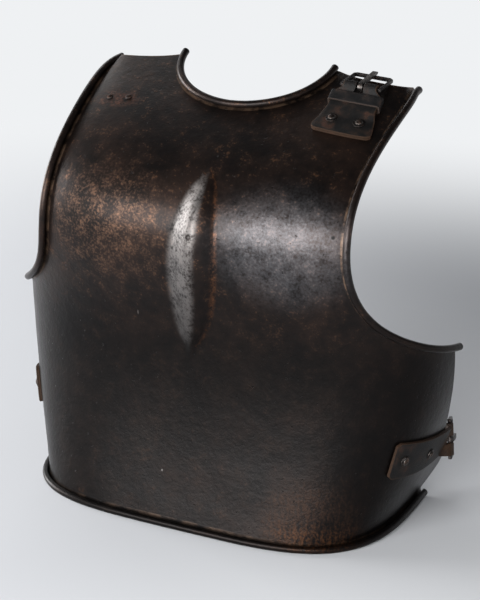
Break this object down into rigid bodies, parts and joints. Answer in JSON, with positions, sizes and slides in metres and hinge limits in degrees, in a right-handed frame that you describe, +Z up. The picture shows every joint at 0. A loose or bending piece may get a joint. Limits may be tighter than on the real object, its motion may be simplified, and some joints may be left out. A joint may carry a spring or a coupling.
{
  "type": "cuirass breastplate",
  "caption": "Dark steel front plate of a cuirass with rolled neck, arm and waist edges, a raised keel, and leather straps with hinged buckles at one shoulder and both sides of the waist.",
  "frame": {"origin": "on the flat underside of the rolled waist rim, at the middle of the front; the part stands on this rim", "axes": "+Z up, -Y the way the chest faces, +X towards the wearer's left side"},
  "size_m": [0.4438, 0.2115, 0.4067],
  "materials": {
    "dark_plate": "dark brown-black patina, worn to bare metal on high places, rust at the lower edge",
    "edge_wire": "dark, hidden in the rolled edges",
    "strap_leather": "near-black, dry, worn brown at the edges",
    "keeper_leather": "near-black, dry",
    "buckle_steel": "blackened, dull",
    "prong_steel": "blackened, dull",
    "rivet_steel": "dark, with rust",
    "burr_steel": "dark, worn edges"
  },
  "bodies": {
    "front_plate": {"breastplate": "dark_plate", "waist_edge_wire": "edge_wire", "neck_edge_wire": "edge_wire", "left_arm_edge_wire": "edge_wire", "right_arm_edge_wire": "edge_wire", "left_shoulder_strap": "strap_leather", "left_shoulder_inner_rivet": "rivet_steel", "left_shoulder_inner_burr": "burr_steel", "left_shoulder_outer_rivet": "rivet_steel", "left_shoulder_outer_burr": "burr_steel", "left_waist_strap": "strap_leather", "left_waist_front_rivet": "rivet_steel", "left_waist_front_burr": "burr_steel", "left_waist_rear_rivet": "rivet_steel", "left_waist_rear_burr": "burr_steel", "right_waist_strap": "strap_leather", "right_waist_front_rivet": "rivet_steel", "right_waist_front_burr": "burr_steel", "right_waist_rear_rivet": "rivet_steel", "right_waist_rear_burr": "burr_steel", "right_shoulder_outer_rivet": "rivet_steel", "right_shoulder_inner_rivet": "rivet_steel"},
    "left_shoulder_keeper": {"left_shoulder_keeper": "keeper_leather"},
    "left_shoulder_buckle": {"left_shoulder_buckle_frame": "buckle_steel"},
    "left_shoulder_tongue": {"left_shoulder_prong": "prong_steel"},
    "left_waist_buckle": {"left_waist_buckle_frame": "buckle_steel"},
    "left_waist_tongue": {"left_waist_prong": "prong_steel"},
    "right_waist_buckle": {"right_waist_buckle_frame": "buckle_steel"},
    "right_waist_tongue": {"right_waist_prong": "prong_steel"}
  },
  "joints": [
    {"name": "left_shoulder_keeper_slide", "type": "slide", "parent": "front_plate", "child": "left_shoulder_keeper", "axis": [-0.0487, -0.7882, -0.6135], "range_m": [0, 0.003]},
    {"name": "left_shoulder_buckle_swing", "type": "hinge", "parent": "front_plate", "child": "left_shoulder_buckle", "pos_m": [0.11257, 0.13432, 0.39596], "axis": [0.9981, -0.0147, -0.0599], "range_deg": [0, 75]},
    {"name": "left_shoulder_prong_swing", "type": "hinge", "parent": "left_shoulder_buckle", "child": "left_shoulder_tongue", "pos_m": [0.11257, 0.13432, 0.39596], "axis": [0.9981, -0.0147, -0.0599], "range_deg": [0, 45]},
    {"name": "left_waist_buckle_swing", "type": "hinge", "parent": "front_plate", "child": "left_waist_buckle", "pos_m": [0.20136, 0.17465, 0.06084], "axis": [0.174, -0.2754, -0.9455], "range_deg": [0, 80]},
    {"name": "left_waist_prong_swing", "type": "hinge", "parent": "left_waist_buckle", "child": "left_waist_tongue", "pos_m": [0.20136, 0.17465, 0.06084], "axis": [0.174, -0.2754, -0.9455], "range_deg": [0, 45]},
    {"name": "right_waist_buckle_swing", "type": "hinge", "parent": "front_plate", "child": "right_waist_buckle", "pos_m": [-0.20166, 0.17418, 0.06178], "axis": [0.1753, 0.2754, 0.9452], "range_deg": [0, 80]},
    {"name": "right_waist_prong_swing", "type": "hinge", "parent": "right_waist_buckle", "child": "right_waist_tongue", "pos_m": [-0.20166, 0.17418, 0.06178], "axis": [0.1753, 0.2754, 0.9452], "range_deg": [0, 45]}
  ]
}
